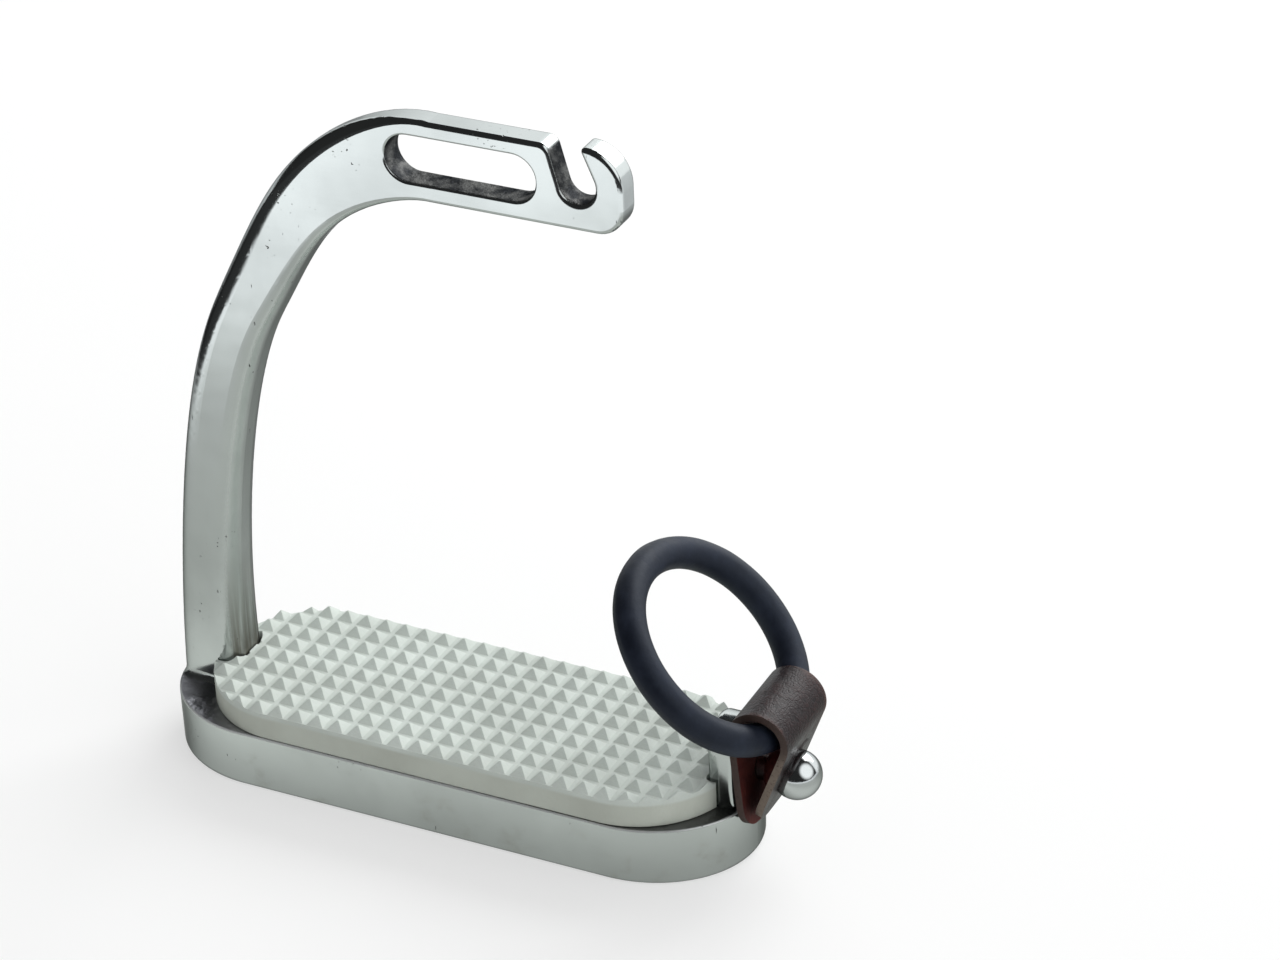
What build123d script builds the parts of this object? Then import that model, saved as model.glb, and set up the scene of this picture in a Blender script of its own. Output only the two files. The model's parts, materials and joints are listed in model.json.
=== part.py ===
"""Quick-release stirrup iron: one casting open on one side, a rubber tread pad, a ball stud,
a leather tab buttoned on the stud and a rubber ring held in the tab.

Millimetres. Origin: centre of the base's underside. +X: along the base, from the leg towards the
open end. +Y: across the base. +Z: up, towards the eye that the stirrup leather passes through.
"""
import math
import os

from build123d import *

# ---- base of the casting ----
BASE_LENGTH = 130.0
BASE_WIDTH = 41.5
BASE_HEIGHT = 12.9
BASE_END = 23.5             # semi-axis along X of each elliptical end
BASE_TOP_EDGE = 0.45
BASE_BOTTOM_EDGE = 1.2
WINDOW_X_MIN = -45.0        # opening through the base, under the tread pad
WINDOW_X_MAX = 53.0
WINDOW_WIDTH = 31.0
WINDOW_CORNER = 9.0
CROSS_BAR_CENTRES = (-30.0, 0.0, 30.0)
CROSS_BAR_WIDTH = 5.0
CROSS_BAR_HEIGHT = 6.0

# ---- eye bar and hook at the top of the casting ----
BAR_BOTTOM = 132.7
BAR_TOP = 149.4
BAR_THICKNESS = 5.6
BAR_EDGE = 0.9
BAR_START_X = 2.0           # where the leg's last section ends
EYE_LENGTH = 31.8
EYE_HEIGHT = 9.7
EYE_CENTRE_X = 8.3
EYE_CENTRE_Z = 141.25
EYE_EDGE = 0.5
HOOK_CENTRE = (34.1, 142.0)
HOOK_RADIUS = 8.0
HOOK_CORNER = 5.6           # below the throat
HOOK_TIP_ROUND = 0.9
THROAT_CENTRE = (32.7, 141.9)
THROAT_RADIUS = 3.75
THROAT_NEAR_LEAN = 15.0     # degrees that the wall nearer the leg leans towards it
THROAT_FAR_LEAN = 23.0
THROAT_LIP_ROUND = 2.4

# ---- leg: outer (x, z), inner (x, z), thickness across Y, outer and inner corner radius ----
LEG_FOOT_FILLET = 2.0       # where the leg meets the top of the base
LEG_SECTIONS = [
    ((-64.6, 4.0), (-49.6, 4.0), 12.6, 4.6, 4.6),
    ((-64.5, 17.0), (-49.8, 17.0), 12.4, 4.6, 4.6),
    ((-63.6, 33.0), (-49.7, 34.0), 12.0, 4.7, 4.4),
    ((-61.3, 55.0), (-47.7, 57.0), 11.4, 4.7, 4.2),
    ((-57.1, 79.1), (-43.2, 80.5), 10.6, 4.6, 3.8),
    ((-50.3, 100.1), (-37.2, 97.5), 9.8, 4.4, 3.4),
    ((-39.9, 120.3), (-29.8, 110.8), 8.6, 4.0, 2.7),
    ((-26.3, 138.4), (-18.8, 124.8), 7.1, 3.0, 1.9),
    ((-11.6, 147.5), (-8.0, 130.9), 6.1, 1.9, 1.3),
    ((-4.0, 149.3), (-2.5, 132.4), 5.7, 1.1, 1.0),
    ((BAR_START_X, BAR_TOP), (BAR_START_X, BAR_BOTTOM), BAR_THICKNESS, BAR_EDGE, BAR_EDGE),
]

# ---- short post at the open end ----
POST_INNER_X = 57.2
POST_OUTER_X = 63.1
POST_WIDTH = 12.4
POST_TOP = 31.0
POST_EDGE = 1.3
POST_ROOT = 5.0             # how far the post goes down into the base

# ---- tread pad ----
PAD_LENGTH = 116.3
PAD_WIDTH = 40.9
PAD_CENTRE_X = 2.35
PAD_LOWER_EDGE = 0.4
PYRAMID_BASE_Z = 18.9
PYRAMID_HEIGHT = 1.6
PYRAMID_PITCH = 4.6
GROOVE_FLOOR = 0.9          # flat strip between pyramids
PYRAMID_FLAT = 0.4          # blunt tip
PYRAMID_ROWS = 9
PYRAMID_COLUMNS = 26
PYRAMID_MIDDLE_X = 1.85     # middle of the columns
PLUG_GAP = 0.25             # between the pad's underside blocks and the casting
PLUG_BOTTOM = 1.6
POST_NOTCH_GAP = 0.5        # between the pad and the post
POST_NOTCH_CORNER = 1.5
LEG_NOTCH_GAP = 0.2         # between the pad and the leg
LEG_NOTCH_CORNER = 3.6

# ---- ball stud ----
STUD_Z = 20.5
BALL_X = 73.8
BALL_RADIUS = 5.05
NECK_RADIUS = 2.6
SHOULDER_RADIUS = 3.2
SHOULDER_LENGTH = 0.8
SHANK_RADIUS = 2.0
SHANK_LENGTH = 4.2

# ---- rubber ring ----
RING_RADIUS = 20.4          # to the centre of its cord
RING_CORD_RADIUS = 3.25
RING_LEAN = 135.0           # degrees from +X towards +Z, from the swing axis to the ring's centre
RING_PIVOT_DEPTH = 1.43     # swing axis inside the cord's centre line, which centres the bend

# ---- leather tab ----
TAB_WIDTH = 19.0
TAB_THICKNESS = 1.5
LOOP_CENTRE = (69.75, 32.6)     # x and z of the ring's swing axis
LOOP_INNER_RADIUS = 4.9
LOOP_OUTER_RADIUS = LOOP_INNER_RADIUS + TAB_THICKNESS
INNER_TAIL_END = (65.6, 9.8)    # outer face of each tail at its lower end
OUTER_TAIL_END = (68.9, 12.2)
TAIL_CORNER = 6.5
BALL_SEAT_GAP = 0.13
NECK_BORE_RADIUS = 2.66


def polar(centre, radius, degrees):
    """A point at a radius and an angle round a centre."""
    angle = math.radians(degrees)
    return (centre[0] + radius * math.cos(angle), centre[1] + radius * math.sin(angle))


def slab_across(sketch, width):
    """A sketch drawn in x and z, made into a solid that reaches equally to both sides of y = 0."""
    return extrude(Plane.XZ * sketch, width / 2, both=True)


def rod_along_x(radius, x_start, x_end, z):
    """A round rod parallel to X, in the middle of the object."""
    return extrude(Plane.YZ.offset(x_start) * Pos(0, z) * Circle(radius), x_end - x_start)


def stadium(length, width, end):
    """A plan with straight sides and elliptical ends."""
    side = length / 2 - end
    plan = Rectangle(2 * side, width)
    for x in (-side, side):
        plan += Pos(x, 0) * Ellipse(end, width / 2)
    return plan


def window(z_low, z_high, gap):
    """The prism of the base's opening, smaller all round by a gap."""
    length = WINDOW_X_MAX - WINDOW_X_MIN
    centre = (WINDOW_X_MIN + WINDOW_X_MAX) / 2
    plan = RectangleRounded(length - 2 * gap, WINDOW_WIDTH - 2 * gap, WINDOW_CORNER - gap)
    return extrude(Pos(centre, 0, z_low) * plan, z_high - z_low)


def base():
    """Rim with elliptical ends, its opening, and the cross bars under the pad."""
    body = extrude(stadium(BASE_LENGTH, BASE_WIDTH, BASE_END), BASE_HEIGHT)
    body = fillet(body.faces().sort_by(Axis.Z)[-1].edges(), BASE_TOP_EDGE)
    body = fillet(body.faces().sort_by(Axis.Z)[0].edges(), BASE_BOTTOM_EDGE)
    body -= window(0, BASE_HEIGHT, 0)
    for x in CROSS_BAR_CENTRES:
        body += Pos(x, 0, CROSS_BAR_HEIGHT / 2) * Box(CROSS_BAR_WIDTH, WINDOW_WIDTH + 2, CROSS_BAR_HEIGHT)
    return body


def leg_section(width, thickness, outer_corner, inner_corner):
    """Rectangle with rounded corners, rounder on the outer side of the leg than on the inner."""
    section = Rectangle(width, thickness)
    section = fillet(section.vertices().group_by(Axis.X)[0], outer_corner)
    return fillet(section.vertices().group_by(Axis.X)[-1], inner_corner)


def leg():
    """Tapering leg that rises from the base and turns over into the eye bar."""
    sections = []
    for outer, inner, thickness, outer_corner, inner_corner in LEG_SECTIONS:
        middle = Vector((outer[0] + inner[0]) / 2, 0, (outer[1] + inner[1]) / 2)
        across = Vector(inner[0] - outer[0], 0, inner[1] - outer[1])
        along = across.cross(Vector(0, 1, 0)).normalized()
        plane = Plane(origin=middle, x_dir=across.normalized(), z_dir=along)
        sections.append(plane * leg_section(across.length, thickness, outer_corner, inner_corner))
    return loft(sections)


def throat():
    """The hook's opening: a round bottom and two walls that lean towards the leg."""
    near = polar(THROAT_CENTRE, THROAT_RADIUS, 180 + THROAT_NEAR_LEAN)
    far = polar(THROAT_CENTRE, THROAT_RADIUS, THROAT_FAR_LEAN)
    rise = 2 * HOOK_RADIUS
    near_top = (near[0] - rise * math.tan(math.radians(THROAT_NEAR_LEAN)), near[1] + rise)
    far_top = (far[0] - rise * math.tan(math.radians(THROAT_FAR_LEAN)), far[1] + rise)
    opening = make_face(Polyline(near, far, far_top, near_top, close=True))
    return opening + Pos(*THROAT_CENTRE) * Circle(THROAT_RADIUS)


def eye_bar():
    """Flat bar that ends in a hook, open at the top."""
    tip_x, low_height = HOOK_CENTRE[0] + HOOK_RADIUS, HOOK_CENTRE[1] - BAR_BOTTOM
    length = tip_x - BAR_START_X
    below = Pos(BAR_START_X + length / 2, BAR_BOTTOM + low_height / 2) * Rectangle(length, low_height)
    below = fillet(below.vertices().sort_by_distance((tip_x, BAR_BOTTOM, 0))[0], HOOK_CORNER)
    length = THROAT_CENTRE[0] - BAR_START_X
    middle = Pos(BAR_START_X + length / 2, (BAR_BOTTOM + BAR_TOP) / 2)
    sketch = below + middle * Rectangle(length, BAR_TOP - BAR_BOTTOM)
    sketch += Pos(*HOOK_CENTRE) * Circle(HOOK_RADIUS)
    sketch -= throat()
    high_corners = sketch.vertices().filter_by(lambda v: v.Y > BAR_TOP - 1 and v.X > BAR_START_X + 1)
    lip, tip = high_corners.sort_by(Axis.X)[0], high_corners.sort_by(Axis.X)[-1]
    sketch = fillet(lip, THROAT_LIP_ROUND)
    tip = sketch.vertices().sort_by_distance((tip.X, tip.Y, 0))[0]
    sketch = fillet(tip, HOOK_TIP_ROUND)
    bar = slab_across(sketch, BAR_THICKNESS)
    on_faces = bar.edges().filter_by(lambda e: abs(e.center().Y) > BAR_THICKNESS / 2 - 0.01)
    return fillet(on_faces.filter_by(lambda e: e.center().X > BAR_START_X + 0.01), BAR_EDGE)


def post():
    """Short upright with a round top, which carries the ball stud."""
    radius = POST_WIDTH / 2
    low = BASE_HEIGHT - POST_ROOT
    high = POST_TOP - radius
    sketch = Pos(0, (low + high) / 2) * Rectangle(POST_WIDTH, high - low)
    sketch += Pos(0, high) * Circle(radius)
    upright = extrude(Plane.YZ.offset(POST_INNER_X) * sketch, POST_OUTER_X - POST_INNER_X)
    ends = upright.faces().filter_by(Axis.X).edges()
    upright = fillet(ends.filter_by(lambda e: e.center().Z > low + 0.01), POST_EDGE)
    return upright - rod_along_x(SHANK_RADIUS, POST_OUTER_X - SHANK_LENGTH, POST_OUTER_X, STUD_Z)


def iron_frame():
    """The whole casting: base, leg, eye bar with its hook, and post."""
    frame = base() + leg()
    at_rim_top = frame.edges().filter_by(lambda e: abs(e.center().Z - BASE_HEIGHT) < BASE_TOP_EDGE / 2)
    round_foot = at_rim_top.filter_by(lambda e: e.center().X < WINDOW_X_MIN and abs(e.center().Y) < 8)
    frame = fillet(round_foot, LEG_FOOT_FILLET)
    frame += eye_bar() + post()
    eye = Pos(EYE_CENTRE_X, EYE_CENTRE_Z) * SlotOverall(EYE_LENGTH, EYE_HEIGHT)
    frame -= slab_across(eye, 4 * BAR_THICKNESS)
    left, right = EYE_CENTRE_X - EYE_LENGTH / 2, EYE_CENTRE_X + EYE_LENGTH / 2
    on_faces = frame.edges().filter_by(lambda e: abs(e.center().Y) > BAR_THICKNESS / 2 - 0.01)
    in_eye = on_faces.filter_by(lambda e: left < e.center().X < right)
    in_eye = in_eye.filter_by(lambda e: abs(e.center().Z - EYE_CENTRE_Z) < EYE_HEIGHT / 2 + 0.1)
    return fillet(in_eye, EYE_EDGE)


def grooves_between(count, middle):
    """Positions of the grooves on both sides of each row of pyramids."""
    return [middle + (i - count / 2) * PYRAMID_PITCH for i in range(count + 1)]


def groove_cutter(length):
    """A prism along X that cuts one groove down to the pyramids' base: a flat floor, sloping walls."""
    floor = GROOVE_FLOOR / 2
    slope_width = (PYRAMID_PITCH - PYRAMID_FLAT) / 2 - floor
    over = 1.2              # the cutter goes on above the tips at the same slope
    opening = floor + slope_width * over
    section = Polyline((-floor, 0), (floor, 0), (opening, PYRAMID_HEIGHT * over),
                       (-opening, PYRAMID_HEIGHT * over), close=True)
    return extrude(Plane.YZ.offset(-length / 2) * make_face(section), length)


def notch(x_inner, x_outer, width, height, corner):
    """What is cut from the end of the pad to make room for the leg or the post."""
    reach = abs(x_outer - x_inner)
    pocket = RectangleRounded(reach, width, corner)
    return extrude(Pos((x_inner + x_outer) / 2, 0) * pocket, height)


def tread_pad():
    """Rubber pad with rows of pyramids, and blocks below that plug into the base."""
    thickness = PYRAMID_BASE_Z + PYRAMID_HEIGHT - BASE_HEIGHT
    plan = Pos(PAD_CENTRE_X, 0, BASE_HEIGHT) * stadium(PAD_LENGTH, PAD_WIDTH, PAD_WIDTH / 2)
    pad = extrude(plan, thickness)
    pad = fillet(pad.faces().sort_by(Axis.Z)[0].edges(), PAD_LOWER_EDGE)
    leg_inner_x = LEG_SECTIONS[1][1][0]
    leg_thickness = LEG_SECTIONS[0][2]
    high = 2 * PYRAMID_BASE_Z
    pad -= notch(leg_inner_x + LEG_NOTCH_GAP, -BASE_LENGTH, leg_thickness + 2 * LEG_NOTCH_GAP,
                 high, LEG_NOTCH_CORNER)
    pad -= notch(POST_INNER_X - POST_NOTCH_GAP, BASE_LENGTH, POST_WIDTH + 2 * POST_NOTCH_GAP,
                 high, POST_NOTCH_CORNER)
    foot_gap = LEG_FOOT_FILLET + PLUG_GAP
    pad -= notch(leg_inner_x + foot_gap, -BASE_LENGTH, leg_thickness + 2 * foot_gap,
                 BASE_HEIGHT + foot_gap, LEG_NOTCH_CORNER)
    lengthwise = groove_cutter(BASE_LENGTH)
    crosswise = Rot(0, 0, 90) * groove_cutter(BASE_LENGTH)
    cuts = [Pos(PYRAMID_MIDDLE_X, y, PYRAMID_BASE_Z) * lengthwise for y in grooves_between(PYRAMID_ROWS, 0)]
    cuts += [Pos(x, 0, PYRAMID_BASE_Z) * crosswise
             for x in grooves_between(PYRAMID_COLUMNS, PYRAMID_MIDDLE_X)]
    pad -= cuts
    plug = window(PLUG_BOTTOM, BASE_HEIGHT, PLUG_GAP)
    for x in CROSS_BAR_CENTRES:
        height = 2 * (CROSS_BAR_HEIGHT + PLUG_GAP)
        plug -= Pos(x, 0, 0) * Box(CROSS_BAR_WIDTH + 2 * PLUG_GAP, WINDOW_WIDTH, height)
    return pad + plug


def ball_stud():
    """Ball, neck and shoulder in one piece, with a shank set into the post."""
    stud = Pos(BALL_X, 0, STUD_Z) * Sphere(BALL_RADIUS)
    stud += rod_along_x(NECK_RADIUS, POST_OUTER_X, BALL_X, STUD_Z)
    stud += rod_along_x(SHOULDER_RADIUS, POST_OUTER_X, POST_OUTER_X + SHOULDER_LENGTH, STUD_Z)
    stud += rod_along_x(SHANK_RADIUS, POST_OUTER_X - SHANK_LENGTH, POST_OUTER_X, STUD_Z)
    return stud


def rubber_ring():
    """Round rubber ring that leans over the tread."""
    x, z = polar(LOOP_CENTRE, RING_RADIUS - RING_PIVOT_DEPTH, RING_LEAN)
    axis_x, axis_z = polar((0, 0), 1, RING_LEAN - 90)
    plane = Plane(origin=(x, 0, z), x_dir=(0, 1, 0), z_dir=(axis_x, 0, axis_z))
    return plane * Torus(RING_RADIUS, RING_CORD_RADIUS)


def tail(end, side):
    """One straight tail of the tab, tangent to the loop: its section and its outward normal."""
    to_loop = Vector(LOOP_CENTRE[0] - end[0], LOOP_CENTRE[1] - end[1])
    direction = math.degrees(math.atan2(to_loop.Y, to_loop.X))
    lean = math.degrees(math.asin(LOOP_OUTER_RADIUS / to_loop.length))
    normal = Vector(*polar((0, 0), 1, direction + side * (lean + 90)))
    low, centre = Vector(*end), Vector(*LOOP_CENTRE)
    corners = (low, centre + normal * LOOP_OUTER_RADIUS, centre + normal * LOOP_INNER_RADIUS,
               low - normal * TAB_THICKNESS)
    return make_face(Polyline(*corners, close=True)), normal


def leather_tab():
    """Strap folded round the ring's cord, with both tails buttoned over the ball stud."""
    inner, inner_normal = tail(INNER_TAIL_END, 1)
    outer, outer_normal = tail(OUTER_TAIL_END, -1)
    centre, reach = Vector(*LOOP_CENTRE), 3 * LOOP_OUTER_RADIUS
    between_tails = make_face(Polyline(centre, centre + inner_normal * reach, centre - Vector(0, reach),
                                       centre + outer_normal * reach, close=True))
    loop = Pos(*LOOP_CENTRE) * (Circle(LOOP_OUTER_RADIUS) - Circle(LOOP_INNER_RADIUS)) - between_tails
    tab = slab_across(loop + inner + outer, TAB_WIDTH)
    at_sides = tab.edges().filter_by(lambda e: abs(e.center().Y) > TAB_WIDTH / 2 - 0.01)
    tail_corners = at_sides.filter_by(lambda e: e.length < TAB_THICKNESS + 0.01)
    tab = fillet(tail_corners, TAIL_CORNER)
    tab -= rod_along_x(NECK_BORE_RADIUS, POST_INNER_X, BALL_X, STUD_Z)
    tab -= Pos(BALL_X, 0, STUD_Z) * Sphere(BALL_RADIUS + BALL_SEAT_GAP)
    return tab


def build():
    makers = (iron_frame, tread_pad, ball_stud, leather_tab, rubber_ring)
    os.makedirs("parts", exist_ok=True)
    for make in makers:
        export_step(make(), f"parts/{make.__name__}.step")


build()
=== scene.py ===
"""Looks of the quick-release stirrup iron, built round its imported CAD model.

Metres, in the CAD frame: +X along the base towards the open end, +Y across, +Z up.
"""
import json
import math

import bmesh
import bpy
from mathutils import Euler, Matrix, Vector, noise


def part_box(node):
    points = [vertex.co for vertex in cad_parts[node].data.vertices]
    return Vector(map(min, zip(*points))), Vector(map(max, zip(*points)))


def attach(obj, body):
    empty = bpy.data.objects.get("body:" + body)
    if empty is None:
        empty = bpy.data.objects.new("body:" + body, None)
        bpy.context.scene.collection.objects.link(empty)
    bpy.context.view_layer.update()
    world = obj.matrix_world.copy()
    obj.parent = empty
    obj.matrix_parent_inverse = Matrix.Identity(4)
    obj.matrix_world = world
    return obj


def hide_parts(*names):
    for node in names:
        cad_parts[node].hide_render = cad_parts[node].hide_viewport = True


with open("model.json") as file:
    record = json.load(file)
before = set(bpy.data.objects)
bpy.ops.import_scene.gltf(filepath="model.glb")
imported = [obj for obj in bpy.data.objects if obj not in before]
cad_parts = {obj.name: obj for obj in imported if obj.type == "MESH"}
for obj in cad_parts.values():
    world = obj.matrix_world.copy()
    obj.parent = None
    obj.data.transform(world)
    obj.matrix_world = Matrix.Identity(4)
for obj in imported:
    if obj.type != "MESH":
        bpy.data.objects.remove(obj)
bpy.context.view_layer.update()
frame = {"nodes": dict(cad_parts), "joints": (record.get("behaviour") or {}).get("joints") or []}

MM = 0.001

joints = {joint["name"]: Vector(joint["pos_m"]) for joint in frame["joints"]}
loop_centre = joints["ring_swing"]
ball_centre = joints["tab_swivel"]


# ---------------------------------------------------------------- shader tools

class Nodes:
    """A node tree that is filled from empty."""

    def __init__(self, tree):
        self.tree = tree
        tree.nodes.clear()

    def put(self, socket, value):
        """Links a socket to an input, or sets the input to a plain value."""
        if isinstance(value, bpy.types.NodeSocket):
            self.tree.links.new(value, socket)
        else:
            socket.default_value = value

    def node(self, kind, inputs=None, **settings):
        """A shader node with its settings and inputs filled in."""
        made = self.tree.nodes.new("ShaderNode" + kind)
        for key, value in settings.items():
            setattr(made, key, value)
        for key, value in (inputs or {}).items():
            self.put(made.inputs[key], value)
        return made

    def calc(self, operation, *values, clamp=False):
        """One step of arithmetic."""
        return self.node("Math", dict(enumerate(values)), operation=operation, use_clamp=clamp).outputs[0]

    def plus(self, base, mask, amount):
        """A base value with an amount added where a mask is 1."""
        return self.calc("MULTIPLY_ADD", mask, amount, base)

    def product(self, *values):
        """The product of several values."""
        result = values[0]
        for value in values[1:]:
            result = self.calc("MULTIPLY", result, value)
        return result

    def rise(self, value, low, high):
        """0 below low, 1 above high, and a smooth step between. With low above high it falls."""
        made = self.node("MapRange", {"Value": value, "From Min": low, "From Max": high})
        made.interpolation_type = "SMOOTHSTEP"
        return made.outputs["Result"]

    def within(self, value, low, high, soft):
        """1 from low to high, 0 beyond a soft edge outside them."""
        return self.product(self.rise(value, low - soft, low), self.rise(value, high + soft, high))

    def split(self, vector):
        """The x, y and z of a vector."""
        return tuple(self.node("SeparateXYZ", {0: vector}).outputs)

    def blended(self, factor, first, second):
        """A colour between two others."""
        made = self.node("Mix", data_type="RGBA")
        for index, value in zip((0, 6, 7), (factor, first, second)):
            self.put(made.inputs[index], value)
        return made.outputs[2]

    def either(self, factor, first, second):
        """A mix of two shaders."""
        return self.node("MixShader", {0: factor, 1: first.outputs[0], 2: second.outputs[0]})


class Surface(Nodes):
    """A material that is built up in layers of colour, roughness and relief."""

    def __init__(self, name, colour, roughness, sockets=None):
        self.material = bpy.data.materials.new(name)
        self.material.use_nodes = True
        super().__init__(self.material.node_tree)
        self.shader = self.node("BsdfPrincipled", sockets)
        self.output = self.node("OutputMaterial", {"Surface": self.shader.outputs[0]})
        self.point = self.node("TexCoord").outputs["Object"]
        self.x, self.y, self.z = self.split(self.point)
        self.colour, self.roughness, self.normal = colour, roughness, None

    def clouds(self, size, detail=4.0, roughness=0.5):
        """Noise whose features are about this many metres across."""
        return self.streaks((1, 1, 1), detail, roughness, size)

    def streaks(self, per_metre, detail, roughness, size=1.0):
        """Noise with this many features a metre along each axis."""
        vector = self.node("Mapping", {"Vector": self.point, "Scale": per_metre}).outputs["Vector"]
        inputs = {"Vector": vector, "Scale": 1 / size, "Detail": detail, "Roughness": roughness}
        return self.node("TexNoise", inputs).outputs["Fac"]

    def cells(self, size, feature, stretch=(1, 1, 1)):
        """Distance in a pattern of cells about this many metres across."""
        vector = self.node("Mapping", {"Vector": self.point, "Scale": stretch}).outputs["Vector"]
        inputs = {"Vector": vector, "Scale": 1 / size}
        return self.node("TexVoronoi", inputs, feature=feature).outputs["Distance"]

    def facing(self):
        """The x, y and z of the surface's normal."""
        return self.split(self.node("NewGeometry").outputs["Normal"])

    def paint(self, mask, colour):
        """Covers the surface with another colour where a mask is 1."""
        self.colour = self.blended(mask, self.colour, colour)

    def roughen(self, mask, amount):
        """Adds roughness where a mask is 1."""
        self.roughness = self.plus(self.roughness, mask, amount)

    def emboss(self, height, depth):
        """Adds relief of a given depth in metres."""
        inputs = {"Height": height, "Distance": depth, "Strength": 1.0}
        if self.normal is not None:
            inputs["Normal"] = self.normal
        self.normal = self.node("Bump", inputs).outputs["Normal"]

    def finished(self):
        """The material, with its layers linked to the shader."""
        self.put(self.shader.inputs["Base Color"], self.colour)
        self.put(self.shader.inputs["Roughness"], self.roughness)
        if self.normal is not None:
            self.put(self.shader.inputs["Normal"], self.normal)
        return self.material


def grey(value):
    """A neutral colour."""
    return (value, value, value, 1)


def shade(tone, factor):
    """A darker version of a tone."""
    return (*(factor * value for value in tone), 1)


# ---------------------------------------------------------------- steel

BODY_TONE = (0.60, 0.625, 0.615)
BODY_ROUGHNESS = 0.09
STUD_TONE = (0.64, 0.66, 0.66)
STUD_ROUGHNESS = 0.05
EDGE_TINT = (0.32, 0.32, 0.32, 1)           # of steel seen nearly edge-on

RIM_LOW = 12.1 * MM             # heights that hold the base's top face
RIM_HIGH = 13.5 * MM
FOOT_END_X = -49 * MM           # the leg's foot reaches this far in, and this far to each side
FOOT_SIDE_Y = 8.5 * MM
FOOT_CORNER = Vector((-60.5, -10.0, 13.0)) * MM

EYE_X = (-9.5 * MM, 26.2 * MM)  # the eye and its edges
EYE_Z = (135.0 * MM, 147.5 * MM)
THROAT = (31.5 * MM, 144.5 * MM)            # middle of the hook's opening
THROAT_REACH = (6.2 * MM, 9.0 * MM)         # and its half width and half height


def polished_steel(name, tone, roughness):
    """Hand-polished stainless steel: slow waves, fine scratches, smudges, a few pits and nicks."""
    steel = Surface(name, (*tone, 1), roughness, {"Metallic": 1.0, "Specular Tint": EDGE_TINT})
    smudges = steel.rise(steel.clouds(35 * MM, 5), 0.35, 0.70)
    pits = steel.product(steel.rise(steel.clouds(0.9 * MM, 2, 0.6), 0.66, 0.74),
                         steel.rise(steel.clouds(12 * MM, 2), 0.60, 0.68))
    nicks = steel.product(steel.rise(steel.streaks((1900, 1400, 380), 1, 0.4), 0.74, 0.78),
                          steel.rise(steel.clouds(10 * MM, 2), 0.56, 0.62))
    marks = steel.calc("MAXIMUM", pits, nicks)
    steel.paint(smudges, shade(tone, 0.82))
    steel.paint(marks, grey(0.10))
    steel.roughen(smudges, 0.05)
    steel.roughen(steel.streaks((60, 60, 1400), 3, 0.6), 0.05)
    steel.roughen(marks, 0.30)
    steel.emboss(steel.clouds(16 * MM, 2), 0.16 * MM)
    steel.emboss(steel.streaks((2600, 260, 120), 2, 0.7), 0.0035 * MM)
    steel.emboss(steel.calc("SUBTRACT", 1.0, marks), 0.06 * MM)
    return steel


def dull_rim(steel):
    """The top face of the base, round the tread: darker, duller and uneven, with painted shadow towards the
    post.
    """
    upward = steel.facing()[2]
    rim = steel.product(steel.rise(upward, 0.80, 0.95),
                        steel.rise(steel.z, RIM_LOW, RIM_LOW + 0.3 * MM),
                        steel.rise(steel.z, RIM_HIGH + 0.3 * MM, RIM_HIGH))
    painted_shadow_towards_post = steel.rise(steel.x, 5 * MM, 40 * MM)
    # painted shadow: the rim goes from 0.50 grey down to 0.20 towards the post, under the pad's end
    steel.paint(rim, steel.blended(painted_shadow_towards_post, (0.50, 0.50, 0.53, 1), grey(0.20)))
    steel.roughen(rim, 0.25)
    steel.emboss(steel.product(steel.clouds(3 * MM, 3), rim), 0.6 * MM)


def worn_edge(steel):
    """The rounded edge of the base's top face is satin, not mirror bright, except at the leg."""
    upward = steel.facing()[2]
    clear_of_foot = steel.calc(
        "MAXIMUM", steel.rise(steel.x, FOOT_END_X, FOOT_END_X + 2 * MM),
        steel.rise(steel.calc("ABSOLUTE", steel.y), FOOT_SIDE_Y, FOOT_SIDE_Y + 1 * MM))
    edge = steel.product(clear_of_foot, steel.rise(upward, 0.15, 0.40), steel.rise(upward, 0.99, 0.92),
                         steel.rise(steel.z, RIM_LOW, RIM_LOW + 0.3 * MM),
                         steel.rise(steel.z, RIM_HIGH, RIM_HIGH - 0.2 * MM))
    steel.put(steel.shader.inputs["Metallic"], steel.plus(1.0, edge, -0.75))


def drawn_inside(steel):
    """The leg's inner side: drawn lengthwise, with a painted brownish reflection of the tread and painted
    shade low down, darker towards the foot.
    """
    inward = steel.facing()[0]
    inside = steel.product(steel.rise(steel.x, -20 * MM, -30 * MM), steel.rise(inward, 0.35, 0.80))
    drawn = steel.streaks((900, 900, 25), 3, 0.6)
    low = steel.product(inside, steel.rise(steel.z, 48 * MM, 14 * MM), steel.rise(drawn, 0.25, 0.60))
    steel.roughen(inside, 0.20)
    steel.emboss(steel.product(drawn, inside), 0.02 * MM)
    # painted reflection of the tread and painted shade: streaky brown, strongest towards the foot
    steel.paint(low, (0.21, 0.195, 0.17, 1))


def blotched_low_side(steel):
    """Faint darker blotches low on the side of the base."""
    blotches = steel.rise(steel.clouds(9 * MM, 5, 0.6), 0.52, 0.78)
    low_blotches = steel.product(blotches, steel.rise(steel.z, RIM_LOW, 0.5 * RIM_LOW), 0.6)
    # darker blotches, stronger towards the bottom of the base's side
    steel.paint(low_blotches, (0.38, 0.37, 0.33, 1))


def satin_foot(steel):
    """A satin spot on the rim in front of the leg's foot."""
    away = steel.node("VectorMath", {0: steel.point, 1: FOOT_CORNER}, operation="DISTANCE").outputs["Value"]
    steel.roughen(steel.rise(away, 6.2 * MM, 2.5 * MM), 0.30)


def squared_share(steel, value, middle, reach):
    """The square of how far a value is from the middle, as a share of the reach."""
    share = steel.calc("DIVIDE", steel.calc("SUBTRACT", value, middle), reach)
    return steel.calc("MULTIPLY", share, share)


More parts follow.
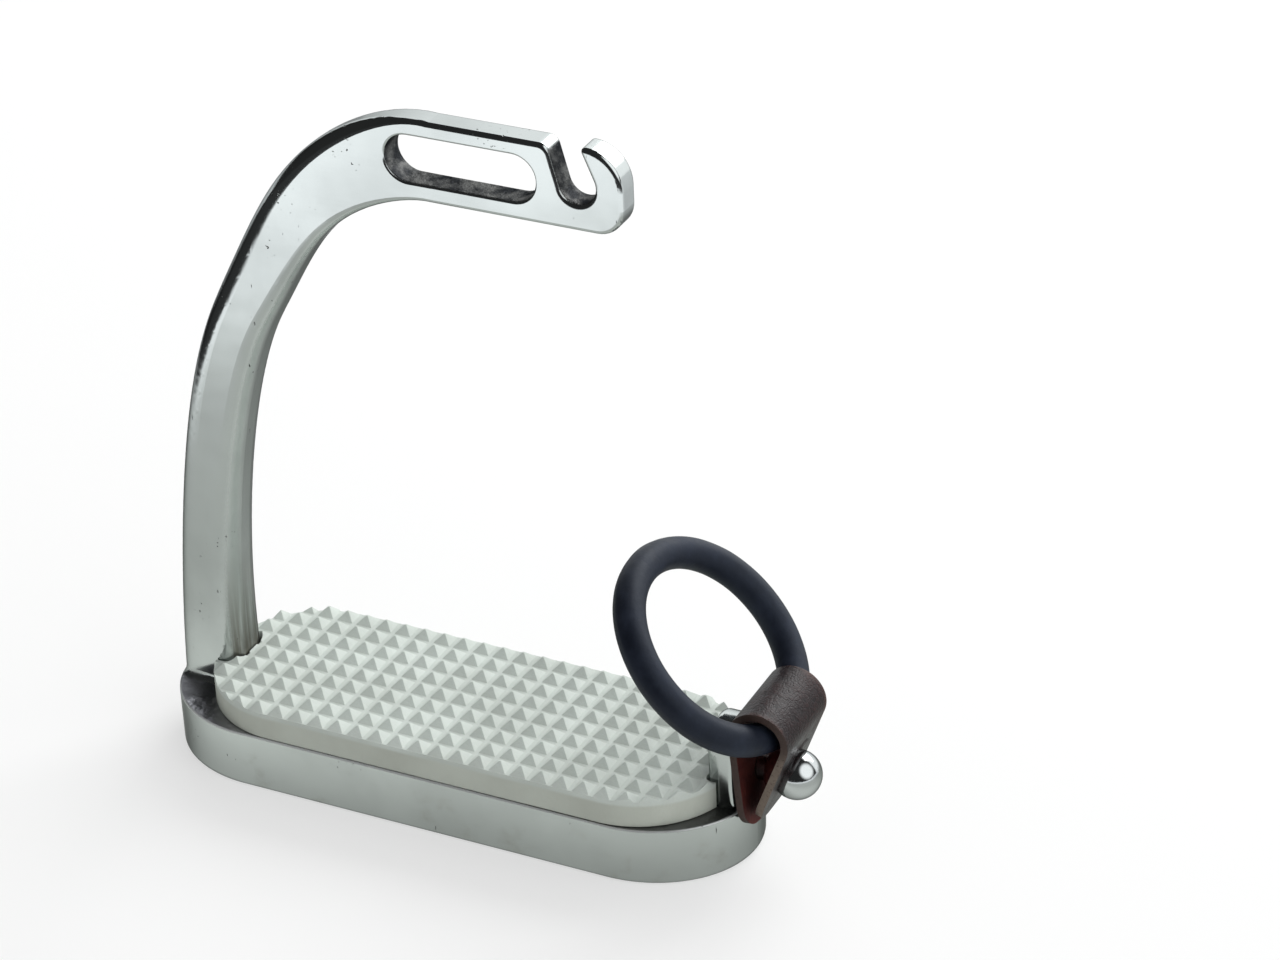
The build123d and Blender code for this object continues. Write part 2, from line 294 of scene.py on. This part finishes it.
def cast_walls(steel):
    """1 on the unpolished walls inside the eye and the hook's throat, 0 elsewhere."""
    normal_x, normal_y, normal_z = steel.facing()
    turned_in = steel.rise(steel.calc("ABSOLUTE", normal_y), 0.75, 0.35)
    in_eye = steel.product(steel.within(steel.x, *EYE_X, 0.6 * MM), steel.within(steel.z, *EYE_Z, 0.6 * MM))
    from_throat = steel.calc("ADD", squared_share(steel, steel.x, THROAT[0], THROAT_REACH[0]),
                             squared_share(steel, steel.z, THROAT[1], THROAT_REACH[1]))
    not_on_top = steel.calc("MAXIMUM", steel.rise(normal_z, 0.7, 0.4),
                            steel.rise(steel.z, 143.5 * MM, 141.5 * MM))
    in_throat = steel.product(steel.rise(from_throat, 1.1, 0.9), not_on_top)
    return steel.product(turned_in, steel.calc("MAXIMUM", in_eye, in_throat))


def rough_openings(steel):
    """Gritty, sooty walls inside the eye and the hook's throat."""
    walls = cast_walls(steel)
    soot = steel.rise(steel.clouds(3.5 * MM, 4), 0.35, 0.70)
    steel.paint(walls, steel.blended(soot, (0.045, 0.047, 0.050, 1), (0.19, 0.19, 0.185, 1)))
    steel.roughen(walls, 0.34)
    steel.emboss(steel.product(steel.clouds(1.1 * MM, 5, 0.6), walls), 0.35 * MM)


def body_steel():
    """The casting: polished, with a dull rim with painted shadow towards the post, a worn edge, painted
    reflection and shade low on the leg's inner side, darker blotches low on the base's side and rough
    openings.
    """
    steel = polished_steel("polished_steel", BODY_TONE, BODY_ROUGHNESS)
    dull_rim(steel)
    worn_edge(steel)
    drawn_inside(steel)
    blotched_low_side(steel)
    satin_foot(steel)
    rough_openings(steel)
    return steel.finished()


def stud_steel():
    """The ball stud: brighter and smoother than the casting."""
    return polished_steel("stud_steel", STUD_TONE, STUD_ROUGHNESS).finished()


# ---------------------------------------------------------------- rubber and leather

def tread_rubber():
    """Pale moulded rubber, with painted shade and a little dirt in its grooves, and a darker side that is
    partly its own beige-grey, partly painted shade.
    """
    rubber = Surface("tread_rubber", (0.61, 0.665, 0.625, 1), 0.48, {"Specular IOR Level": 0.35})
    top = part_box("tread_pad")[1].z
    patches = rubber.rise(rubber.clouds(18 * MM, 5), 0.3, 0.7)
    speckle = rubber.clouds(0.8 * MM, 3)
    in_grooves = rubber.rise(rubber.z, top - 0.3 * MM, top - 1.9 * MM)
    below_pyramids = rubber.rise(rubber.z, top - 2.2 * MM, top - 3.0 * MM)
    rubber.paint(patches, (0.55, 0.60, 0.56, 1))
    # painted shade with a little dirt: darker in the grooves between the pyramids
    rubber.paint(rubber.product(in_grooves, rubber.plus(0.05, patches, 0.15)), (0.40, 0.42, 0.38, 1))
    # the side below the pyramids: partly its own beige-grey, partly painted shade
    rubber.paint(below_pyramids, rubber.blended(patches, (0.45, 0.475, 0.42, 1), (0.53, 0.565, 0.505, 1)))
    rubber.roughen(speckle, 0.25)
    rubber.emboss(speckle, 0.06 * MM)
    rubber.emboss(patches, 0.10 * MM)
    return rubber.finished()


def ring_rubber():
    """Blue-black rubber with a faint dull bloom."""
    sheen = {"Specular IOR Level": 0.28, "Specular Tint": (0.80, 0.88, 1.0, 1)}
    rubber = Surface("ring_rubber", (0.007, 0.0095, 0.018, 1), 0.44, sheen)
    bloom = rubber.rise(rubber.clouds(7 * MM, 5, 0.6), 0.35, 0.75)
    speckle = rubber.clouds(0.6 * MM, 3)
    rubber.paint(bloom, (0.016, 0.021, 0.036, 1))
    rubber.roughen(bloom, 0.14)
    rubber.roughen(speckle, 0.10)
    rubber.emboss(speckle, 0.03 * MM)
    rubber.emboss(rubber.clouds(4 * MM, 3), 0.12 * MM)
    return rubber.finished()


def grain_leather():
    """Dark waxed outside of the strap: fine grain and pores, rubbed redder in places."""
    leather = Surface("leather_grain", (0.016, 0.0085, 0.0095, 1), 0.36, {"Specular IOR Level": 0.22})
    pebbles = leather.cells(0.42 * MM, "F1")
    from_crease = leather.cells(0.7 * MM, "DISTANCE_TO_EDGE", (1, 0.5, 1))
    patches = leather.rise(leather.clouds(6 * MM, 5, 0.6), 0.40, 0.72)
    sides = leather.rise(leather.calc("ABSOLUTE", leather.y), 7.8 * MM, 9.4 * MM)
    leather.paint(patches, (0.034, 0.014, 0.014, 1))
    leather.paint(leather.rise(from_crease, 0.10, 0.0), (0.007, 0.004, 0.005, 1))
    leather.paint(leather.product(sides, patches), (0.075, 0.034, 0.028, 1))
    leather.roughen(patches, 0.12)
    leather.emboss(leather.rise(from_crease, 0.0, 0.22), 0.03 * MM)
    leather.emboss(pebbles, 0.04 * MM)
    leather.emboss(leather.clouds(3 * MM, 3), 0.20 * MM)
    return leather.finished()


def flesh_leather():
    """Fibrous dark red inside of the strap."""
    leather = Surface("leather_flesh", (0.038, 0.006, 0.006, 1), 0.62, {"Specular IOR Level": 0.20})
    fibres = leather.streaks((900, 1500, 300), 4, 0.7)
    leather.paint(leather.rise(leather.clouds(4 * MM, 4), 0.3, 0.7), (0.075, 0.013, 0.010, 1))
    leather.paint(leather.rise(fibres, 0.55, 0.80), (0.13, 0.035, 0.028, 1))
    leather.roughen(fibres, 0.2)
    leather.emboss(fibres, 0.10 * MM)
    return leather.finished()


def edge_leather():
    """Cut edge of the strap: stained dark on the loop, worn to tan down the outer tail."""
    leather = Surface("leather_edge", (0.030, 0.013, 0.012, 1), 0.5, {"Specular IOR Level": 0.30})
    grit = leather.clouds(0.6 * MM, 4, 0.6)
    below_loop = leather.rise(leather.z, loop_centre.z + 1 * MM, loop_centre.z - 6 * MM)
    outer_tail = leather.product(below_loop, leather.rise(leather.x, loop_centre.x - 2 * MM, loop_centre.x))
    uneven = leather.plus(0.6, leather.clouds(4 * MM, 3), 0.9)
    worn = leather.calc("MULTIPLY", leather.plus(0.12, outer_tail, 0.55), uneven, clamp=True)
    leather.paint(worn, (0.21, 0.17, 0.135, 1))
    leather.paint(leather.rise(grit, 0.55, 0.75), (0.030, 0.014, 0.011, 1))
    leather.roughen(grit, 0.2)
    leather.emboss(grit, 0.08 * MM)
    return leather.finished()


# ---------------------------------------------------------------- pieces

def new_object(name, data):
    """A mesh, light or camera as an object in the scene."""
    made = bpy.data.objects.new(name, data)
    bpy.context.scene.collection.objects.link(made)
    return made


def modified(thing, kind, **settings):
    """Adds a modifier and applies it at once."""
    changer = thing.modifiers.new(kind.lower(), kind)
    for key, value in settings.items():
        setattr(changer, key, value)
    bpy.context.view_layer.update()
    seen = thing.evaluated_get(bpy.context.evaluated_depsgraph_get())
    mesh = bpy.data.meshes.new_from_object(seen)
    thing.modifiers.clear()
    old = thing.data
    thing.data = mesh
    mesh.name = thing.name
    bpy.data.meshes.remove(old)


def rounded(thing, width, segments, degrees):
    """Rounds the edges that are sharper than an angle."""
    modified(thing, "BEVEL", width=width, segments=segments, limit_method="ANGLE",
             angle_limit=math.radians(degrees), use_clamp_overlap=True)


def smooth(thing, degrees):
    """Smooth shading that stays sharp at edges over this angle."""
    mesh = thing.data
    mesh.polygons.foreach_set("use_smooth", [True] * len(mesh.polygons))
    mesh.set_sharp_from_angle(angle=math.radians(degrees))


def give(piece, body, cad_node):
    """Puts a finished piece on its body, in place of a CAD node."""
    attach(piece, body)
    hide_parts(cad_node)


TREAD_EDGE = 0.13 * MM      # rounding of the pyramids' edges


def tread():
    """The pad with the moulded edges of its pyramids eased."""
    mesh = frame["nodes"]["tread_pad"].data.copy()
    shape = bmesh.new()
    shape.from_mesh(mesh)
    bmesh.ops.remove_doubles(shape, verts=shape.verts, dist=0.002 * MM)
    bmesh.ops.dissolve_limit(shape, angle_limit=math.radians(1.0), verts=shape.verts, edges=shape.edges)
    shape.to_mesh(mesh)
    shape.free()
    for attribute in ("custom_normal", "sharp_edge"):
        if attribute in mesh.attributes:
            mesh.attributes.remove(mesh.attributes[attribute])
    pad = new_object("tread_moulded", mesh)
    rounded(pad, TREAD_EDGE, 2, 22)
    smooth(pad, 35)
    pad.data.materials.clear()
    pad.data.materials.append(tread_rubber())
    give(pad, "frame", "tread_pad")


RING_TURNS = 220                # rings of faces round the circle
RING_SIDES = 48                 # faces round the cord
PARTING_LINE = 0.07 * MM        # ridge left by the mould
PARTING_WIDTH = 0.055           # as a share of the cord's radius
CORD_UNEVENNESS = 0.035 * MM
CORD_WAVES = 160                # a metre


def ring_point(centre, radius, cord, turn, angle):
    """A point on the ring: turn goes round the circle, angle round the cord."""
    towards_centre = Vector((-1, 0, 1)).normalized()        # from the loop, as the ring leans
    across = Vector((0, 1, 0))
    out = math.cos(turn) * towards_centre + math.sin(turn) * across
    direction = math.cos(angle) * out + math.sin(angle) * towards_centre.cross(across)
    point = centre + radius * out + cord * direction
    uneven = noise.noise(point * CORD_WAVES) * CORD_UNEVENNESS
    ridge = PARTING_LINE * math.exp(-(math.sin(angle) / PARTING_WIDTH) ** 2) * (math.cos(angle) > 0)
    return point + direction * (uneven + ridge - CORD_UNEVENNESS)


def ring():
    """Moulded rubber ring: a slightly uneven cord with a faint parting line."""
    low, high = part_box("rubber_ring")
    outer, reach = (high.y - low.y) / 2, (high.x - low.x) / 2
    slope = math.sqrt(0.5)
    cord = (reach - outer * slope) / (1 - slope)
    centre = (low + high) / 2
    verts, faces = [], []
    for i in range(RING_TURNS):
        for j in range(RING_SIDES):
            turn, angle = 2 * math.pi * i / RING_TURNS, 2 * math.pi * j / RING_SIDES
            verts.append(ring_point(centre, outer - cord, cord, turn, angle))
            after, above = (i + 1) % RING_TURNS, (j + 1) % RING_SIDES
            faces.append((i * RING_SIDES + j, i * RING_SIDES + above,
                          after * RING_SIDES + above, after * RING_SIDES + j))
    mesh = bpy.data.meshes.new("rubber_ring_moulded")
    mesh.from_pydata(verts, [], faces)
    made = new_object("rubber_ring_moulded", mesh)
    smooth(made, 180)
    mesh.materials.append(ring_rubber())
    give(made, "ring", "rubber_ring")


STRAP_THICKNESS = 1.5 * MM
STRAP_EDGE = 0.38 * MM              # rounding of the cut edges
STRAP_HALF_WIDTH = 9.4 * MM
STRAP_LOOP_RADIUS = 5.65 * MM       # to the middle of the leather
INNER_TAIL_END = Vector((66.35, 0, 9.85)) * MM
OUTER_TAIL_END = Vector((68.15, 0, 12.25)) * MM
TAIL_CORNER = 6.5 * MM
NECK_HOLE = 2.68 * MM
BALL_CLEARANCE = 5.2 * MM           # radius round the ball's centre that the leather stays out of
STRAP_STEP = 0.4 * MM               # size of the strap's faces


def round_loop(angle):
    """A point on the loop's circle."""
    return loop_centre + STRAP_LOOP_RADIUS * Vector((math.cos(angle), 0, math.sin(angle)))


def tangent_point(end, side):
    """Where a straight line from a tail's end touches the loop's circle, on one side of it."""
    reach = loop_centre - end
    direction = math.atan2(reach.z, reach.x)
    opening = math.asin(STRAP_LOOP_RADIUS / reach.length)
    length = math.sqrt(reach.length ** 2 - STRAP_LOOP_RADIUS ** 2)
    angle = direction + side * opening
    return end + Vector((math.cos(angle), 0, math.sin(angle))) * length


def steps(length):
    """Even fractions from 0 up to 1, about a face apart, without 1 itself."""
    count = max(2, round(length / STRAP_STEP))
    return [i / count for i in range(count)]


def strap_line():
    """Points along the middle of the folded strap, from the inner tail's end to the outer's."""
    start, finish = tangent_point(INNER_TAIL_END, 1), tangent_point(OUTER_TAIL_END, -1)
    first = math.atan2(start.z - loop_centre.z, start.x - loop_centre.x)
    last = math.atan2(finish.z - loop_centre.z, finish.x - loop_centre.x)
    first += 2 * math.pi * (first < last)
    points = [INNER_TAIL_END.lerp(start, t) for t in steps((start - INNER_TAIL_END).length)]
    points += [round_loop(first + (last - first) * t) for t in steps((first - last) * STRAP_LOOP_RADIUS)]
    points += [finish.lerp(OUTER_TAIL_END, t) for t in steps((OUTER_TAIL_END - finish).length)]
    return points + [OUTER_TAIL_END]


def from_stud(point):
    """Distance from the stud's axis."""
    return math.hypot(point.y, point.z - ball_centre.z)


def dished(point):
    """A point of the outer tail, pushed back where the ball presses into it."""
    beside = from_stud(point)
    on_inner_tail = point.x < loop_centre.x - 1 * MM
    on_loop = point.z > loop_centre.z - 2 * MM
    if on_inner_tail or on_loop or beside >= 1.5 * BALL_CLEARANCE:
        return point
    depth_of_ball = math.sqrt(max(BALL_CLEARANCE ** 2 - min(beside, BALL_CLEARANCE) ** 2, 0))
    push = max(0.0, point.x + STRAP_THICKNESS / 2 - (ball_centre.x - depth_of_ball))
    return point - Vector((push, 0, 0))


def strap_grid():
    """The strap's middle surface, with rounded tail ends and the neck's hole left open."""
    line = strap_line()
    columns = 2 * round(STRAP_HALF_WIDTH / STRAP_STEP)
    along = [0.0]
    for before, after in zip(line, line[1:]):
        along.append(along[-1] + (after - before).length)
    verts, faces = [], []
    for s, point in zip(along, line):
        from_end = min(s, along[-1] - s, TAIL_CORNER)
        half = STRAP_HALF_WIDTH - TAIL_CORNER + math.sqrt(TAIL_CORNER ** 2 - (TAIL_CORNER - from_end) ** 2)
        for j in range(columns + 1):
            verts.append(dished(point + Vector((0, half * (2 * j / columns - 1), 0))))
    width = columns + 1
    for i in range(len(line) - 1):
        for j in range(columns):
            corners = (i * width + j, i * width + j + 1, (i + 1) * width + j + 1, (i + 1) * width + j)
            middle = sum((verts[k] for k in corners), Vector()) / 4
            if from_stud(middle) > NECK_HOLE or middle.z > loop_centre.z - 4 * MM:
                faces.append(corners)
    mesh = bpy.data.meshes.new("leather_strap")
    mesh.from_pydata(verts, [], faces)
    return mesh


def round_hole(mesh):
    """Moves the ragged edge of the neck's hole onto a circle."""
    shape = bmesh.new()
    shape.from_mesh(mesh)
    bmesh.ops.delete(shape, geom=[v for v in shape.verts if not v.link_faces], context="VERTS")
    for vert in shape.verts:
        offset = Vector((0, vert.co.y, vert.co.z - ball_centre.z))
        if vert.is_boundary and offset.length < 1.5 * NECK_HOLE:
            vert.co += offset.normalized() * (NECK_HOLE - offset.length)
    shape.to_mesh(mesh)
    shape.free()


def strap():
    """Leather folded round the ring, with both tails buttoned over the ball."""
    mesh = strap_grid()
    round_hole(mesh)
    made = new_object("leather_strap", mesh)
    for finish in (flesh_leather(), grain_leather(), edge_leather()):
        mesh.materials.append(finish)
    modified(made, "SOLIDIFY", thickness=STRAP_THICKNESS, offset=0.0, use_even_offset=True,
             material_offset=1, material_offset_rim=2)
    rounded(made, STRAP_EDGE, 3, 50)
    smooth(made, 50)
    give(made, "tab", "leather_tab")


# ---------------------------------------------------------------- studio

CAMERA_AIM = Vector((0.0420, 0.0, 0.0801))
CAMERA_DISTANCE = 0.7605
CAMERA_AZIMUTH = 26.97      # degrees from the front towards the open end
CAMERA_ELEVATION = 30.36
CAMERA_ROLL = -2.33
CAMERA_LENS = 112.0


def camera():
    """The view from the front, above, and to the right."""
    data = bpy.data.cameras.new("camera")
    data.lens = CAMERA_LENS
    data.clip_start = 0.01
    made = new_object("camera", data)
    turn = Euler((math.radians(90 - CAMERA_ELEVATION), 0, math.radians(CAMERA_AZIMUTH)), "XYZ").to_matrix()
    turn = turn @ Matrix.Rotation(math.radians(CAMERA_ROLL), 3, "Z")
    made.matrix_world = Matrix.Translation(CAMERA_AIM + turn.col[2] * CAMERA_DISTANCE) @ turn.to_4x4()
    bpy.context.scene.camera = made


FLOOR_HALF = 3.0
FLOOR_GLOW = 0.55               # how much of the floor, seen directly, is plain white
NEAR_LEVEL = 0.62               # how bright the floor is in the steel, up to NEAR_DISTANCE: painted shadow near the base
FAR_LEVEL = 1.42                # and from FAR_DISTANCE on
NEAR_DISTANCE = 0.145
FAR_DISTANCE = 0.275
CONTACT = (0.019, 0.040)        # painted shadow beside the base, which rises to a painted bright strip
CONTACT_LEVEL = 0.78
CONTACT_GAIN = 0.48
STRIP = (0.045, 0.080)          # where the painted bright strip ends
STRIP_LOSS = -0.22
BEHIND = (0.0, 0.08)            # behind the iron it is dimmer: painted shade
BEHIND_LOSS = -0.33
TABLE_FRONT = (0.38, 0.46)      # it ends like a table top, this far to the front
TABLE_FRONT_BACK = (0.15, 0.0)  # but not behind the iron
TABLE_LEFT = (-0.24, -0.30)     # and this far to the left
TABLE_LEFT_BACK = (0.25, 0.12)
TABLE_LOSS = -0.97


def from_base_line(paper):
    """Distance on the floor from the line between the centres of the base's round ends."""
    base_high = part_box("iron_frame")[1]
    past_centre = paper.calc("SUBTRACT", paper.calc("ABSOLUTE", paper.x), base_high.x - base_high.y)
    flat = paper.node("CombineXYZ", {0: paper.calc("MAXIMUM", 0.0, past_centre), 1: paper.y})
    return paper.node("VectorMath", {0: flat.outputs[0]}, operation="LENGTH").outputs["Value"]


def past_table_edge(paper, distance):
    """1 on the floor beyond the front and the left edge of the table top."""
    front = paper.product(paper.rise(distance, *TABLE_FRONT), paper.rise(paper.y, *TABLE_FRONT_BACK))
    left = paper.product(paper.rise(paper.x, *TABLE_LEFT), paper.rise(paper.y, *TABLE_LEFT_BACK))
    return paper.calc("MAXIMUM", front, left)


def floor_in_steel(paper):
    """What the steel mirrors: a table top that glows for glossy rays, with painted shadow close to the
    base, a painted bright strip beside it, and painted shade behind it.
    """
    distance = from_base_line(paper)
    far = paper.rise(distance, NEAR_DISTANCE, FAR_DISTANCE)
    level = paper.plus(NEAR_LEVEL, far, FAR_LEVEL - NEAR_LEVEL)
    behind = paper.plus(1.0, paper.rise(paper.y, *BEHIND), BEHIND_LOSS)
    # painted contact shadow beside the base, then a painted bright strip
    painted_contact_shade_and_strip = paper.plus(CONTACT_LEVEL, paper.rise(distance, *CONTACT), CONTACT_GAIN)
    painted_contact_shade_and_strip = paper.plus(painted_contact_shade_and_strip, paper.rise(distance, *STRIP), STRIP_LOSS)
    on_table = paper.plus(1.0, past_table_edge(paper, distance), TABLE_LOSS)
    level = paper.product(level, behind, painted_contact_shade_and_strip, on_table)
    tint = paper.blended(paper.rise(distance, 0.5 * NEAR_DISTANCE, FAR_DISTANCE),
                         (0.95, 1.0, 0.955, 1), (0.945, 0.98, 1.0, 1))
    return paper.node("Emission", {"Color": tint, "Strength": level})


def floor():
    """A wide pale floor, which looks like a glowing table top with painted shadow in the steel."""
    mesh = bpy.data.meshes.new("floor")
    corners = [(-1, -1, 0), (1, -1, 0), (1, 1, 0), (-1, 1, 0)]
    mesh.from_pydata([FLOOR_HALF * Vector(corner) for corner in corners], [], [(0, 1, 2, 3)])
    made = new_object("floor", mesh)
    paper = Surface("floor_paper", (0.86, 0.865, 0.86, 1), 0.8)
    paper.paint(paper.clouds(0.4, 2), (0.89, 0.89, 0.885, 1))
    rays = paper.node("LightPath").outputs
    glow = paper.node("Emission", {"Color": (1.0, 1.0, 1.0, 1), "Strength": 1.0})
    lit = paper.either(paper.product(rays["Is Camera Ray"], FLOOR_GLOW), paper.shader, glow)
    both = paper.either(rays["Is Glossy Ray"], lit, floor_in_steel(paper))
    paper.put(paper.output.inputs["Surface"], both.outputs[0])
    mesh.materials.append(paper.finished())


BACK_LIGHT_AT = Vector((0.24, 0.90, 0.76))
BACK_LIGHT_SIZE = 0.8
BACK_LIGHT_POWER = 7.0


def back_light():
    """A square soft light behind the iron, aimed at it."""
    data = bpy.data.lights.new("back_light", "AREA")
    data.shape = "SQUARE"
    data.size = BACK_LIGHT_SIZE
    data.energy = BACK_LIGHT_POWER
    made = new_object("back_light", data)
    turn = BACK_LIGHT_AT.to_track_quat("Z", "Y").to_matrix().to_4x4()
    made.matrix_world = Matrix.Translation(BACK_LIGHT_AT) @ turn


WALL_EDGE = (0.50, 0.62)                # how far round to the back the bright wall starts
WALL_LEVEL = 1.45
WINDOW_TOWARDS = Vector((0.82, -0.12, 0.56)).normalized()
WINDOW_EDGE = (0.78, 0.93)
WINDOW_LEVEL = 1.5
ROOM_LEVEL = 0.028
SOFT_FILL = 0.38                        # more light for rough surfaces than the steel mirrors


def surroundings():
    """A dim room with a bright wall behind the iron and a window on its right."""
    world = bpy.data.worlds.new("studio")
    bpy.context.scene.world = world
    world.use_nodes = True
    room = Nodes(world.node_tree)
    toward = room.node("TexCoord").outputs["Generated"]
    behind = room.split(toward)[1]
    aligned = room.node("VectorMath", {0: toward, 1: WINDOW_TOWARDS}, operation="DOT_PRODUCT")
    level = room.plus(ROOM_LEVEL, room.rise(behind, *WALL_EDGE), WALL_LEVEL)
    level = room.plus(level, room.rise(aligned.outputs["Value"], *WINDOW_EDGE), WINDOW_LEVEL)
    white = (1.0, 1.0, 1.0, 1)
    mirrored = room.node("Background", {"Color": (0.96, 0.99, 1.0, 1), "Strength": level})
    fill = room.node("Background", {"Color": white, "Strength": room.calc("ADD", level, SOFT_FILL)})
    seen = room.node("Background", {"Color": white, "Strength": 1.0})
    rays = room.node("LightPath").outputs
    lit = room.either(rays["Is Diffuse Ray"], mirrored, fill)
    both = room.either(rays["Is Camera Ray"], lit, seen)
    room.node("OutputWorld", {"Surface": both.outputs[0]})


frame["nodes"]["iron_frame"].material_slots[0].material = body_steel()
frame["nodes"]["ball_stud"].material_slots[0].material = stud_steel()
tread()
ring()
strap()
camera()
floor()
back_light()
surroundings()
bpy.context.scene.view_settings.view_transform = "Standard"
